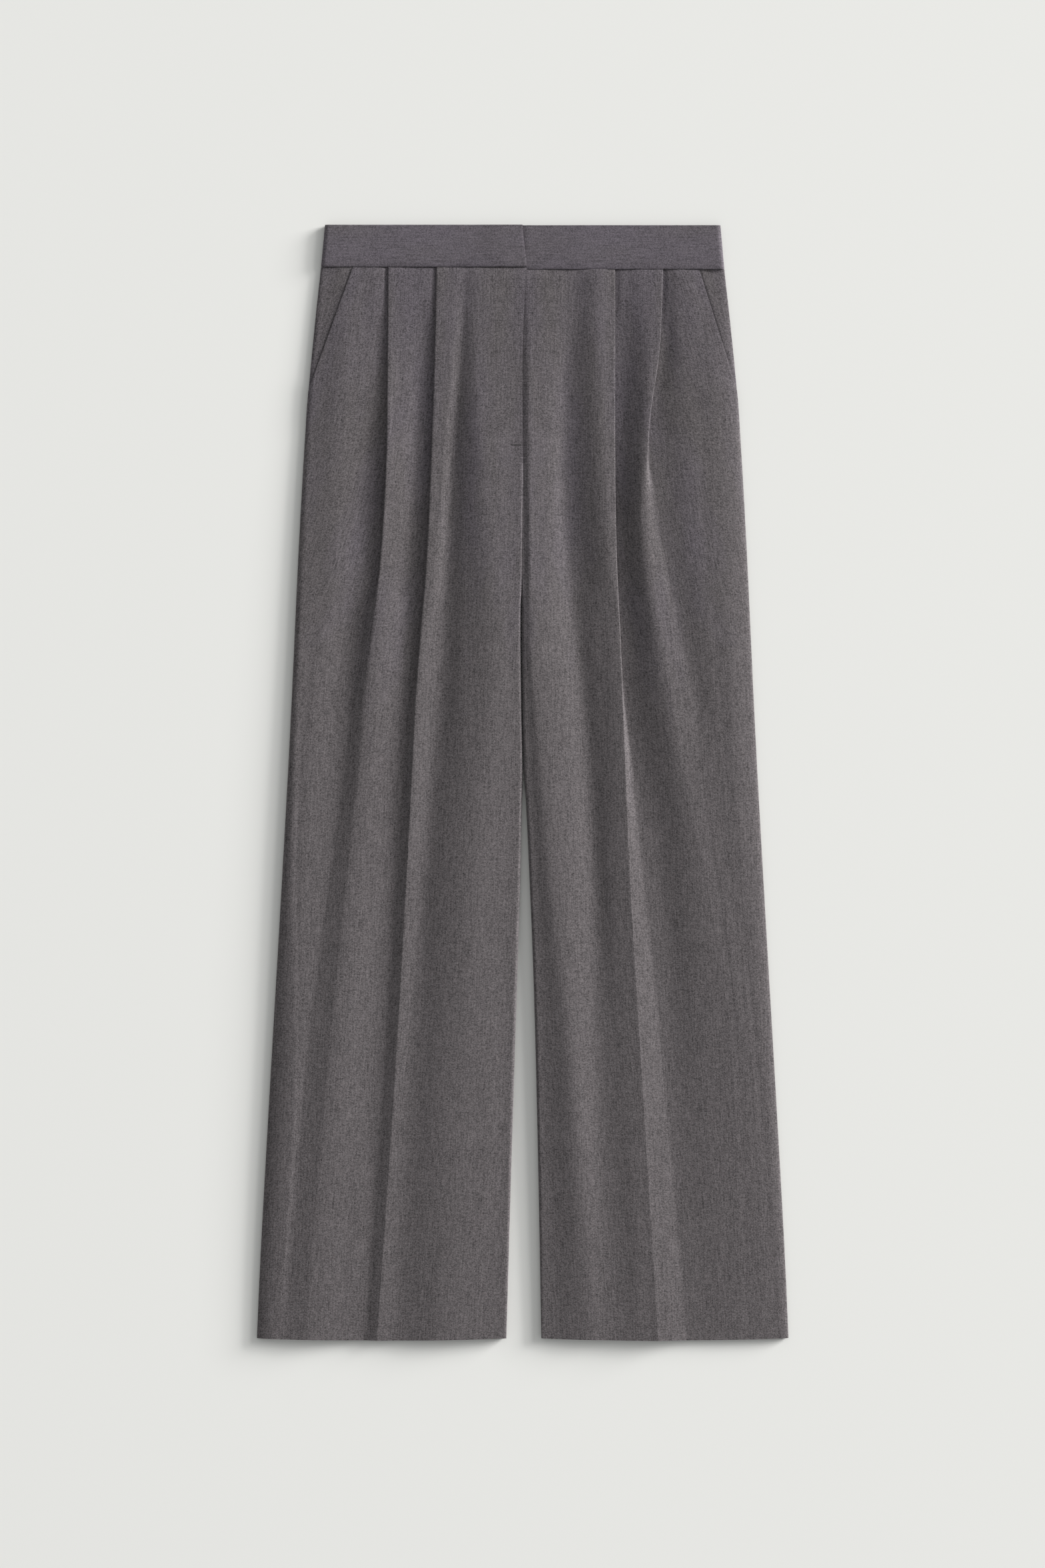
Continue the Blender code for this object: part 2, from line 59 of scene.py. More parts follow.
# %% Named sizes
LENGTH = 1069.0  # top of the waistband to the hem's corners
HEM_BOW = 2.0  # how far the middle of each hem hangs below its corners
BAND = 40.0  # depth of the waistband
CLOTH_WALL = 0.5  # one layer of suiting
BAND_WALL = 1.7  # the waistband, doubled and stiffened
CLOSED_SEAM = 0.12  # what shows between two sewn edges
PANEL_TOP = 40.15  # where the panels come out from under the waistband
FORK = 350.0  # the crotch, where the legs part
FORK_BLEND = 25.0  # half the length over which the inner legs round off
KNEE = 600.0  # from here down the hollows beside the folds change shape
KNEE_BLEND = 200.0
TACK = 212.0  # the bar tack at the bottom of the fly
POCKET_END = 158.0  # where the pocket opening meets the side seam
POCKET_TAIL = 8.0  # how far the hip piece reaches below the opening
POCKET_LAP = 14.0  # how far the hip piece reaches in behind the pocket's edge
POCKET_LIFT = 0.66  # the pocket's turned edge over the hip piece
POCKET_TOP = {"right": 163.0, "left": 169.5}  # where each opening starts at the waist seam
LEFT_DROP = (0.4, 2.4)  # how much lower the left half's top edge and waist seam lie
LEFT_DROP_FADE = 110.0  # the length below the seam over which that fades out
INNER_SEAM_HEIGHT = 4.6  # of the inner-leg seams
INNER_ROLL_WIDTH = 2.6
SIDE_OF = {"right": -1, "left": 1}  # which way the wearer's sides lie along X
print("waist to hem:", (LENGTH + HEM_BOW) * MM, "m")

# %% The side seam and the inner edges
Side = namedtuple("Side", "down at seam_height shoulder_right roll_right "
                          "shoulder_left roll_left")
SIDES = [
    Side(0, 190.0, 2.2, 3.4, 4.0, 3.0, 4.0),
    Side(40, 193.8, 2.2, 3.4, 4.0, 3.0, 4.0),
    Side(90, 199.2, 2.3, 3.6, 4.5, 4.3, 12.0),
    Side(180, 207.5, 2.4, 4.4, 5.0, 7.5, 34.0),
    Side(295, 214.4, 2.6, 5.4, 5.5, 8.0, 36.0),
    Side(487, 223.5, 2.8, 6.4, 6.0, 7.3, 30.0),
    Side(615, 230.5, 2.8, 7.1, 9.0, 6.8, 24.0),
    Side(870, 245.3, 2.6, 8.2, 24.0, 5.4, 13.0),
    Side(1000, 252.4, 2.5, 7.5, 22.0, 4.8, 10.0),
    Side(1069, 255.4, 2.4, 6.7, 20.0, 4.4, 9.0),
]
Inner = namedtuple("Inner", "down right left")
INNERS = [
    Inner(40, -3.8, -4.0),
    Inner(70, -1.8, -4.0),
    Inner(140, 0.2, -4.0),
    Inner(212, 0.0, -3.6),
    Inner(300, 1.0, -0.6),
    Inner(390, 1.5, -1.1),
    Inner(455, 0.9, -0.5),
    Inner(520, -0.2, 0.9),
    Inner(560, 0.9, 3.4),
    Inner(615, 2.1, 6.0),
    Inner(740, 5.9, 10.9),
    Inner(905, 11.0, 14.9),
    Inner(1069, 15.7, 17.9),
]
print("hip width:", round(2 * SIDES[3].at * MM, 4), "m; hem of one leg:",
      round((SIDES[-1].at - INNERS[-1].right) * MM, 4), "m")

# %% The folds of each front
# A pleat's turn is the angle through which the cloth doubles back: near 180 degrees it lies
# folded, and as the angle falls the pleat opens into a soft step. Its tuck is the strip
# between the two turns, and its foot the height of the lower one. Inside the crease the
# cloth dips into a hollow and rises to a crest, and edge is its height at the fly or seam.
Fold = namedtuple("Fold", "down hip_at hip pleat_at pleat_turn pleat_tuck pleat_foot "
                          "crease_at crease_turn crease_tuck crease_foot shelf "
                          "dip_at dip crest_at crest edge")
FOLDS = {
    "right": [
        Fold(40, 170, 4.2, 129.0, 178, 16, 3.1, 82.4, 178, 16, 3.1, -0.1, 55, 4.2, 43, 4.7, 4.8),
        Fold(80, 170, 4.5, 129.2, 177, 15, 3.1, 83.3, 177, 15, 3.1, -0.2, 57, 4.3, 43, 5.6, 5.6),
        Fold(116, 171, 5.1, 129.5, 176, 14, 2.7, 84.2, 176, 14, 2.6, -0.3, 59, 4.1, 43, 6.6, 6.4),
        Fold(212, 182, 5.6, 130.6, 162, 9, 1.9, 87.4, 171, 10, 1.9, -0.5, 66, 4.1, 39, 9.8, 8.2),
        Fold(328, 184, 5.9, 137.2, 118, 3.2, 1.9, 92.6, 150, 6.4, 1.9, -0.2,
             72, 4.6, 31, 10.6, 9.2),
        Fold(391, 196, 5.6, 145.5, 42, 3, 2.6, 97.9, 125, 3.3, 2.3, 0, 75, 4.4, 28, 10.5, 9.3),
        Fold(455, 206, 5.8, 152.3, 20, 6.5, 3.9, 102.8, 84, 3.0, 3.0, 0, 80, 5.2, 33, 10.8, 9.0),
        Fold(520, 214, 6.1, 157.5, 13, 9, 4.9, 106.0, 50, 3.6, 3.9, 0, 86, 6.0, 40, 11.0, 8.6),
        Fold(615, 219, 6.5, 167.5, 9, 13, 5.8, 110.9, 25, 6.4, 4.7, 0, 94, 6.8, 51, 11.2, 8.0),
        Fold(810, 214, 7.8, 187.5, 6, 18, 7.7, 122.1, 15, 9.0, 5.6, 0, 108, 7.1, 68, 10.7, 7.4),
        Fold(1069, 232, 6.8, 209.0, 4, 16, 6.8, 140.0, 11, 9.0, 4.7, 0, 122, 5.6, 78, 8.2, 5.8),
    ],
    "left": [
        Fold(40, 152, 4.2, 134.6, 178, 16, 3.1, 88.5, 178, 16, 3.1, 0.9, 50, 4.1, 4, 4.4, 4.2),
        Fold(80, 152, 4.8, 133.2, 174, 11, 3.2, 88.5, 177, 15, 3.1, 1.0, 48, 4.0, 6, 5.1, 4.2),
        Fold(116, 155, 5.8, 131.5, 168, 7, 3.3, 88.5, 176, 14, 2.8, 1.2, 45, 3.4, 6.5, 6.0, 4.8),
        Fold(190, 161, 7.8, 121.8, 140, 1.4, 4.8, 88.5, 173, 11, 1.9, 0.9, 42, 2.5, 7, 7.6, 6.1),
        Fold(228, 163, 8.1, 119.6, 84, 1.2, 5.8, 88.6, 168, 9.5, 1.9, 0.8, 42, 2.4, 7, 8.3, 6.8),
        Fold(270, 165, 8.3, 118.3, 22, 3, 6.8, 89.0, 162, 8, 1.9, 0.7, 43, 2.3, 7, 8.9, 7.4),
        Fold(328, 170, 8.1, 122.5, 13, 11, 6.5, 90.4, 148, 5.2, 2.0, 0.3, 47, 2.4, 7, 9.6, 8.1),
        Fold(391, 180, 7.9, 132.0, 10, 15, 6.4, 93.4, 124, 2.6, 2.7, 0, 52, 2.9, 7, 10.2, 9.1),
        Fold(455, 186, 7.6, 143.0, 7, 19, 6.8, 96.0, 84, 2.8, 3.1, 0, 59, 3.3, 12, 10.5, 9.0),
        Fold(520, 191, 7.4, 153.0, 5, 15, 7.5, 98.4, 43, 4.5, 3.7, 0, 63.5, 3.7, 18, 10.5, 8.7),
        Fold(615, 200, 7.0, 174.0, 3, 9, 7.6, 102.2, 19, 10, 4.6, 0, 69, 4.2, 26, 10.5, 8.4),
        Fold(810, 220, 6.2, 202.0, 3, 4, 6.5, 113.8, 13, 19, 4.6, 0, 74, 6.8, 46, 10.4, 7.7),
        Fold(1069, 234, 4.8, 212.0, 2, 4, 4.7, 130.1, 9, 26, 4.4, 0, 84, 7.2, 66, 7.8, 5.1),
    ],
}
print("levels:", {side: len(rows) for side, rows in FOLDS.items()})

# %% [markdown]
# ## Smooth curves through the tables
#
# Cloth bends without kinks, but it doesn't swing past its folds either. A monotone cubic
# curve does just that: it passes through each row and never overshoots it. The other
# choice, a Bezier or an ordinary spline, would put waves between the rows.


# %% Curve helpers
def slopes(xs, ys):
    """Slopes for a smooth curve through the points that never overshoots them."""
    steps = np.diff(ys) / np.diff(xs)
    result = np.zeros(len(xs))
    result[0], result[-1] = steps[0], steps[-1]
    for i in range(1, len(xs) - 1):
        if steps[i - 1] * steps[i] > 0:
            result[i] = 2 * steps[i - 1] * steps[i] / (steps[i - 1] + steps[i])
    return result


def on_curve(xs, ys, tangents, x):
    """Heights at x, one place or many, on the cubic curve with these slopes."""
    xs, ys, tangents = (np.asarray(values, float) for values in (xs, ys, tangents))
    x = np.clip(x, xs[0], xs[-1])
    i = np.clip(np.searchsorted(xs, x, side="right") - 1, 0, len(xs) - 2)
    width = xs[i + 1] - xs[i]
    t = (x - xs[i]) / width
    start = (1 + 2 * t) * (1 - t) ** 2 * ys[i] + t * (1 - t) ** 2 * width * tangents[i]
    return start + t * t * (3 - 2 * t) * ys[i + 1] - t * t * (1 - t) * width * tangents[i + 1]


def row_at(table, down):
    """The table's row for any distance down, on smooth curves through its rows."""
    downs = [row.down for row in table]
    values = [down]
    for column in table[0]._fields[1:]:
        heights = [getattr(row, column) for row in table]
        values.append(float(on_curve(downs, heights, slopes(downs, heights), down)))
    return type(table[0])(*values)


def blend(value):
    """0 to 1, with a soft start and a soft end."""
    value = np.clip(value, 0.0, 1.0)
    return value * value * (3 - 2 * value)


def rising(low, high, early):
    """A steep knot between a hollow and a crest, nearer to the hollow as early goes to 1."""
    place, share, steep = 0.5 - 0.1 * early, 0.5 + 0.02 * early, 1.5 - 0.2 * early
    steep *= (high[1] - low[1]) / (high[0] - low[0])
    return (low[0] + place * (high[0] - low[0]), low[1] + share * (high[1] - low[1]), steep)


def run(knots, count, ends=(0.0, 0.0)):
    """Points, outer end first, on a curve through (at, height) or (at, height, slope) knots.

    A knot with no slope is level. ends are the slopes at the outer and the inner end.
    """
    outward = sorted(knots)
    xs = [knot[0] for knot in outward]
    ys = [knot[1] for knot in outward]
    tangents = [knot[2] if len(knot) > 2 else 0.0 for knot in outward]
    tangents[0], tangents[-1] = ends[1], ends[0]
    places = np.linspace(xs[-1], xs[0], count + 2)
    return list(zip(places, on_curve(xs, ys, tangents, places)))


print("side seam at the knee:", round(row_at(SIDES, KNEE).at, 1), "mm out")

# %% [markdown]
# ## A pleat, seen end on
#
# A pleat is cloth folded back on itself and pressed: it turns back at a hidden foot, runs
# under, and turns again at the folded edge that shows. Two small arcs keep the cloth one
# unbroken surface, which a displaced flat panel could not be. The radius is small at the
# waist, where the pleat is sewn down, and grows as it opens.

# %% Pleat helper
TURN_POINTS = 8
SEWN_RADIUS = 0.28  # a fold caught in the waist seam
LOOSE_RADIUS = 0.8  # the same fold lower down
LOOSENING = 170.0  # below the waistband, the length over which it loosens
CREASE_RADIUS = 0.9  # the pressed crease stays sharp
OPEN_RADIUS = 30.0  # how much rounder a fully opened fold is
OPENING_POWER = 6  # and how late in its opening it rounds off


def fold_radius(down, turn):
    """Radius of a fold at this level, opened to this turn."""
    pressed = SEWN_RADIUS + (LOOSE_RADIUS - SEWN_RADIUS) * blend((down - BAND) / LOOSENING)
    return pressed + OPEN_RADIUS * (1 - turn / 180.0) ** OPENING_POWER


def pleat(turn, tuck, foot_radius, top_radius):
    """(inward, up) points from a pleat's foot to its top, from the middle of its edge."""
    angle = math.radians(turn)
    points = []
    for i in range(TURN_POINTS + 1):
        a = angle * i / TURN_POINTS
        points.append((foot_radius * math.sin(a), foot_radius * (1 - math.cos(a))))
    start_x = points[-1][0] + tuck * math.cos(angle)
    start_z = points[-1][1] + tuck * math.sin(angle)
    for i in range(TURN_POINTS + 1):
        a = angle * (1 - i / TURN_POINTS)
        points.append((start_x + top_radius * (math.sin(angle) - math.sin(a)),
                       start_z + top_radius * (math.cos(a) - math.cos(angle))))
    edge = points[TURN_POINTS + 1 + TURN_POINTS // 2][0]
    return [(inward - edge, up) for inward, up in points]


print("a pressed pleat is", round(pleat(178, 16, 0.4, 0.4)[-1][1], 2), "mm high at the waist")

# %% [markdown]
# ## The hip, the side roll and the legs' inner rolls
#
# Laid flat, the cloth doesn't stop at the side seam: it rolls over softly to meet the back
# panel at half height. The front is also lifted a little where it lies over the hip piece
# at the pocket. These helpers give that line, ready to be cut into even steps.


# %% Side helpers
SIDE_POINTS = 220
ROLL_POINTS = 30
LEVEL_SHOULDER = 6.0  # from the roll to the top of the hip, at least
GROOVE_AT = (5.0, 2.2)  # outside a pleat's edge, where its groove starts and ends
GROOVE_LIP = 0.25  # how much lower than the pleat the outer lip lies
SEWN_END = 10.0  # below the waistband
SEWN_FADE = 70.0
LIFT_FADE = 12.0


def groove(fold_at, foot, turn, down):
    """Knots beside a pleat: level with its top where it is sewn, dipping under its edge."""
    sewn = 1 - blend((down - BAND - SEWN_END) / SEWN_FADE)
    step = 4 * fold_radius(down, turn) * sewn
    return [(fold_at + GROOVE_AT[0], foot + max(step - GROOVE_LIP, 0.0)),
            (fold_at + GROOVE_AT[1], foot)]


def side_section(down, which, fold, foot_at):
    """The hip line from the side seam to the foot of the outer pleat."""
    side = row_at(SIDES, down)
    width = getattr(side, f"roll_{which}")
    shoulder_at = side.at - CLOTH_WALL / 2 - width
    seam_height = side.seam_height + CLOSED_SEAM / 2
    shoulder = getattr(side, f"shoulder_{which}")
    rise = shoulder - seam_height
    angles = np.linspace(0, math.pi / 2, ROLL_POINTS, endpoint=False)
    points = list(zip(shoulder_at + width * np.cos(angles),
                      seam_height + rise * np.sin(angles)))
    hip_at = min(fold.hip_at, shoulder_at - LEVEL_SHOULDER)
    knots = [(shoulder_at, shoulder), (hip_at, fold.hip)]
    if foot_at < fold.pleat_at:
        knots += groove(fold.pleat_at, fold.pleat_foot, fold.pleat_turn, down)
    else:
        knots.append((foot_at + 1, fold.pleat_foot))
    knots.append((foot_at, fold.pleat_foot))
    return points + run(knots, SIDE_POINTS)


def raised(points, amount, level_at):
    """The same points moved out from the cloth's face, and not at all inside level_at."""
    line = np.array(points)
    along = np.gradient(line, axis=0)
    along /= np.linalg.norm(along, axis=1)[:, None]
    outward = np.stack([-along[:, 1], along[:, 0]], axis=1)
    outward *= np.where(outward @ np.array([1.0, 1.0]) < 0, -1.0, 1.0)[:, None]
    return line + outward * (amount * blend((line[:, 0] - level_at) / LIFT_FADE))[:, None]


print("groove at the waist:", groove(129, 3.1, 178, BAND))


# %% Edge helpers
EDGE_POINTS = 8


def divided(points, start_at, end_at, count):
    """The points' line between two distances out, cut into even steps."""
    line = np.array(points)
    length = np.concatenate([[0], np.cumsum(np.linalg.norm(np.diff(line, axis=0), axis=1))])
    first, last = np.interp([-start_at, -end_at], -line[:, 0], length)
    places = first + (last - first) * np.linspace(0, 1, count + 1)
    return [tuple(p) for p in np.stack([np.interp(places, length, line[:, 0]),
                                        np.interp(places, length, line[:, 1])], axis=1)]


def pocket_at(down, side):
    """How far out the pocket's edge lies, or the side seam below the opening."""
    share = (down - BAND) / (POCKET_END - BAND)
    if share >= 1:
        return row_at(SIDES, down).at
    seam_at = row_at(SIDES, POCKET_END).at - CLOTH_WALL / 2
    return POCKET_TOP[side] + (seam_at - POCKET_TOP[side]) * share


def leg_share(down):
    """0 above the fork, where the panels lie flat at the centre, and 1 on the legs."""
    return float(blend((down - FORK + FORK_BLEND) / (2 * FORK_BLEND)))


def inner_roll(end_at, start, drop, width, share):
    """The inner end of a section, bent over a quarter turn as share goes from 0 to 1."""
    bend = max(math.pi / 2 * share, 0.01)
    angles = bend * np.arange(1, EDGE_POINTS + 1) / EDGE_POINTS
    return list(zip(end_at + width * (1 - np.sin(angles) / math.sin(bend)),
                    start + drop * (1 - np.cos(angles))))


opening = row_at(SIDES, POCKET_END).at - POCKET_TOP["right"]
print("pocket opening:", round(math.hypot(POCKET_END - BAND, opening)), "mm long")

# %% [markdown]
# ## One cross-section of a front
#
# Going in from the side: the roll, the hip, the outer pleat, the panel between the pleats,
# the inner pleat that becomes the pressed crease, then the soft hollow and the soft crest
# beside the fly. The same recipe at every level, with the table's numbers, makes the panel.

# %% Front section
HIP_POINTS = 54
PANEL_POINTS = 24
FRONT_POINTS = 44
CREASE_FALL = 6.0  # degrees that the cloth falls away inside an open crease
PANEL_FALL = 1.3  # how steeply the right front falls inside its outer pleat
POCKET_LIFT_FADE = 40.0  # below the pocket
OPEN_CREASE = 140.0  # a smaller turn counts as open
FLY_END_FADE = 30.0  # below the tack, where the fly's edge turns down into the seam


def front_section(down, side):
    """The (at, height) points of a front's cross-section, from the side seam in."""
    fold = row_at(FOLDS[side], down)
    share = leg_share(down)
    inner_at = getattr(row_at(INNERS, down), side) + CLOTH_WALL / 2 * share
    outer_radius = fold_radius(down, fold.pleat_turn)
    inner_radius = fold_radius(down, fold.crease_turn)
    outer = pleat(fold.pleat_turn, fold.pleat_tuck, outer_radius, outer_radius)
    inner = pleat(fold.crease_turn, fold.crease_tuck, inner_radius,
                  min(inner_radius, CREASE_RADIUS))
    outer = [(fold.pleat_at - inward, fold.pleat_foot + up) for inward, up in outer]
    inner = [(fold.crease_at - inward, fold.crease_foot + up) for inward, up in inner]

    below_pocket = down - POCKET_END - POCKET_TAIL
    lift = POCKET_LIFT * (1 - blend(below_pocket / POCKET_LIFT_FADE))
    hip = raised(side_section(down, side, fold, outer[0][0]), lift, fold.pleat_at + 3)
    hip = divided(hip, pocket_at(down, side), outer[0][0], HIP_POINTS)

    start = outer[-1]
    knots, fall = [start], 0.0
    if side == "left":
        knots.append((min(outer[0][0], start[0]) - 1.0, start[1]))
    if inner[0][0] < fold.crease_at:
        knots += groove(fold.crease_at, fold.crease_foot, fold.crease_turn, down)
    else:
        knots.append((inner[0][0] + 1, fold.crease_foot))
    if side == "right":
        fall = PANEL_FALL * (start[1] - knots[1][1]) / (start[0] - knots[1][0])
        fall *= blend((fold.pleat_turn - 60) / 90)  # only where the pleat is still folded
    knots.append(inner[0])
    between = run(knots, PANEL_POINTS, ends=(fall, 0.0))[1:-1]

    start = inner[-1]
    fall = math.tan(math.radians(CREASE_FALL * (1 - fold.crease_turn / 180.0)))
    dip, crest = (fold.dip_at, fold.dip), (fold.crest_at, fold.crest)
    if side == "left":
        crest = (*crest, (fold.dip - fold.crest) / (fold.dip_at - fold.crest_at) * (1 - share))
    early = 1 - blend((down - KNEE) / KNEE_BLEND)
    knots = [start, dip, rising(dip, crest, early), crest,
             (inner_at + INNER_ROLL_WIDTH, fold.edge)]
    if side == "left" and fold.crease_turn < OPEN_CREASE:
        knots.append(rising(dip, start, early))
    if inner[0][0] < start[0] - 2:
        knots.append((inner[0][0] - 1.0, start[1] + fold.shelf))
        fall = 0.0
    inside = run(knots, FRONT_POINTS, ends=(fall, 0.0))[1:]
    return hip[:-1] + outer + between + inner + inside + edge_roll(down, side, fold, inner_at)


def edge_roll(down, side, fold, inner_at):
    """The inner end: the fly's free edge, then the centre seam, then the inner leg."""
    share = leg_share(down)
    sewn = 0.0
    low = INNER_SEAM_HEIGHT + CLOSED_SEAM / 2
    if side == "right":
        sewn = float(blend((down - TACK) / FLY_END_FADE)) * (1 - share)
        low += (row_at(FOLDS["left"], down).edge + CLOTH_WALL - low) * (1 - share)
    width = INNER_ROLL_WIDTH * max(share, 0.5)
    return inner_roll(inner_at, fold.edge, low - fold.edge, width, max(share, sewn))


# Which point of a section is the middle of the crease's upper turn
CREASE_INDEX = HIP_POINTS + PANEL_POINTS + 3 * (TURN_POINTS + 1) + TURN_POINTS // 2
print("points across a front:", len(front_section(300, "right")))

# %% [markdown]
# ## Creases, one by one
#
# Even pressed trousers keep a few soft creases where they were folded, sat in or handled.
# Each row here is one of them, with its own place, length, width and depth, so that no two
# are alike. A noise texture would spread the same bumps everywhere, which cloth never has.

# %% Soft creases
Crease = namedtuple("Crease", "down_a at_a down_b at_b width depth")
CREASES = {
    "right": [
        Crease(60, 108, 330, 118, 9, 0.5),
        Crease(240, 160, 620, 186, 16, -0.7),
        Crease(420, 205, 900, 226, 12, 0.6),
        Crease(560, 176, 1010, 214, 11, -0.5),
        Crease(640, 62, 1040, 80, 13, -0.5),
        Crease(330, 60, 560, 58, 10, 0.4),
        Crease(700, 30, 980, 36, 9, 0.4),
        Crease(860, 150, 1069, 168, 8, 0.3),
    ],
    "left": [
        Crease(60, 150, 210, 158, 8, -0.4),
        Crease(300, 196, 700, 214, 14, 0.6),
        Crease(480, 128, 900, 152, 12, -0.6),
        Crease(560, 178, 1000, 205, 15, -0.5),
        Crease(620, 40, 1020, 52, 11, 0.4),
        Crease(360, 74, 600, 80, 8, -0.4),
        Crease(820, 104, 1069, 116, 9, 0.4),
    ],
}


def crease_lift(creases, down, ats, power=0.8, shift=0.0):
    """How far these creases, moved out by shift, raise the cloth at these distances out."""
    lift = np.zeros(len(ats))
    for crease in creases:
        t = (down - crease.down_a) / (crease.down_b - crease.down_a)
        if 0 < t < 1:
            centre = crease.at_a + (crease.at_b - crease.at_a) * t + shift
            fade = math.sin(math.pi * t) ** power
            lift += crease.depth * fade * np.exp(-((ats - centre) / crease.width) ** 2)
    return lift


def waver(values, seed):
    """An uneven wave between about -1 and 1, the same each time."""
    values = np.asarray(values, float)
    return (np.sin(values + seed) + 0.6 * np.sin(2.31 * values + 1.7 * seed)
            + 0.4 * np.sin(4.77 * values + 2.9 * seed)) / 2


print("creases:", {side: len(rows) for side, rows in CREASES.items()})

# %% [markdown]
# ## From cross-sections to a sheet of cloth
#
# A panel is a grid: its rows are the cross-sections and its columns run down the leg. The
# UV map holds real distances in metres, across and along the grain, so the weave keeps its
# scale and follows the crease. Solidify gives the cloth its wall, and a fine Bevel rounds
# the cut edge. Both are applied, because the finished piece has to carry its own shape.


# %% Cloth helpers
HEM_BOW_LENGTH = 60.0  # how far above the hem its bow starts
CUT_EDGE = 0.2  # rounding of a cut edge
CUT_ANGLE = 62.0  # edges sharper than this many degrees are cut edges


def height_of(down):
    """World Y, in millimetres, of a distance below the top of the waistband."""
    return (LENGTH + HEM_BOW) / 2 - down


def deselect():
    """Leave nothing selected, so that an operator acts on new work only."""
    bpy.ops.object.select_all(action="DESELECT")


def select(pieces):
    """Select these pieces and nothing else, and make the first one active."""
    deselect()
    for piece in pieces:
        piece.select_set(True)
    bpy.context.view_layer.objects.active = pieces[0]


def apply_modifier(piece, kind, **settings):
    """Add a modifier with these settings to a piece and apply it."""
    modifier = piece.modifiers.new(kind.title(), kind)
    for key, value in settings.items():
        setattr(modifier, key, value)
    select([piece])
    bpy.ops.object.modifier_apply(modifier=modifier.name)


def cloth_sheet(name, sections, downs, side, wall, grain_index, edge=CUT_EDGE):
    """A sheet of cloth through (at, height) sections, with a UV map in metres.

    side is -1 or 1 along X. The UV map starts at each section's point grain_index.
    """
    points = np.array(sections, float)
    rows, count = points.shape[:2]
    downs = np.array(downs, float)
    ats, heights = points[:, :, 0], points[:, :, 1]
    bow = HEM_BOW * blend((downs - LENGTH + HEM_BOW_LENGTH) / HEM_BOW_LENGTH)[:, None]
    middle = (ats[:, :1] + ats[:, -1:]) / 2
    half = np.abs(ats[:, :1] - ats[:, -1:]) / 2
    lower = bow * (1 - np.minimum(1.0, ((ats - middle) / half) ** 2))
    if side > 0:
        drop = LEFT_DROP[0] + (LEFT_DROP[1] - LEFT_DROP[0]) * blend(downs / BAND)
        lower = lower + (drop * (1 - blend((downs - BAND) / LEFT_DROP_FADE)))[:, None]
    across = np.concatenate([np.zeros((rows, 1)), np.cumsum(
        np.linalg.norm(np.diff(points, axis=1), axis=2), axis=1)], axis=1)
    across -= across[:, grain_index:grain_index + 1]
    place = np.stack([side * ats, height_of(downs)[:, None] - lower, heights], axis=2) * MM
    grain = np.stack([across, -downs[:, None] - lower], axis=2) * MM

    index = np.arange(rows * count).reshape(rows, count)
    faces = np.stack([index[:-1, :-1], index[:-1, 1:], index[1:, 1:], index[1:, :-1]], axis=2)
    faces = faces.reshape(-1, 4)
    if side > 0:
        faces = faces[:, ::-1]
    mesh = bpy.data.meshes.new(name)
    mesh.from_pydata(place.reshape(-1, 3).tolist(), [], faces.tolist())
    layer = mesh.uv_layers.new(name="cloth")
    layer.data.foreach_set("uv", grain.reshape(-1, 2)[faces.ravel()].ravel())
    mesh.shade_smooth()
    piece = bpy.data.objects.new(name, mesh)
    bpy.context.scene.collection.objects.link(piece)
    apply_modifier(piece, "SOLIDIFY", thickness=wall * MM, offset=0.0)
    apply_modifier(piece, "BEVEL", width=edge * MM, segments=2, limit_method="ANGLE",
                   angle_limit=math.radians(CUT_ANGLE))
    piece.data.shade_smooth()
    return piece


def report(pieces):
    """Print how many triangles each piece has."""
    for piece in pieces:
        piece.data.calc_loop_triangles()
    print({piece.name: len(piece.data.loop_triangles) for piece in pieces})


def panels(kind, row, downs, grain_index, wall=CLOTH_WALL, edge=CUT_EDGE):
    """The right and the left panel of a kind, from row(down, side), which gives their points."""
    pieces = {}
    for side, along_x in SIDE_OF.items():
        sections = [row(down, side) for down in downs]
        piece = cloth_sheet(f"{kind}_{side}_cloth", sections, downs, along_x, wall,
                            grain_index, edge)
        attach(piece, "root")
        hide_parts(f"{kind}_{side}")
        pieces[side] = piece
    report(pieces.values())
    return pieces


def levels(first, last, step):
    """Even distances down, with two close ones at each end to hold the edge crisp."""
    inner = np.linspace(first + 1.6, last - 1.6, round((last - first) / step))
    return [first, first + 0.5, *inner, last - 0.5, last]


print("the hem lies", round(-height_of(LENGTH + HEM_BOW) * MM, 4), "m below the middle")

# %% [markdown]
# ## The two fronts
#
# The fronts carry all the shape: two pleats each, the pressed crease, and the fly, where
# the wearer's right front lies over the left one. At the waist seam the cloth is drawn
# down into the stitching and puckers slightly.

# %% Fronts
FRONT_STEP = 6.5
PUCKER = 0.14  # how deep the cloth puckers at the waist seam
PUCKER_WAVE = 3.1
SEAM_PULL = 0.8  # how far the stitching draws the cloth down


def front_row(down, side):
    """A row of a front's points, with soft creases, drawn down at the waist seam."""
    section = np.array(front_section(down, side))
    ats = section[:, 0]
    # The listed creases fade out before the side roll and the inner edge
    inside = blend((row_at(SIDES, down).at - ats) / 25) * blend((ats - 2) / 14)
    section[:, 1] += crease_lift(CREASES[side], down, ats) * inside
    pucker = PUCKER * math.exp(-(down - PANEL_TOP) / 6)
    section[:, 1] += pucker * waver(ats / PUCKER_WAVE, 2 + SIDE_OF[side])
    section[:, 1] -= SEAM_PULL * math.exp(-(down - PANEL_TOP) / 1.4)
    return section


fronts = panels("front", front_row, levels(PANEL_TOP, LENGTH, FRONT_STEP), CREASE_INDEX)

# %% [markdown]
# ## The two backs
#
# Under the fronts the backs lie flat on the floor and turn up at both edges to the seams.
# They were pressed along the same crease line as the fronts, so each has one faint ridge,
# and a few soft creases of its own.

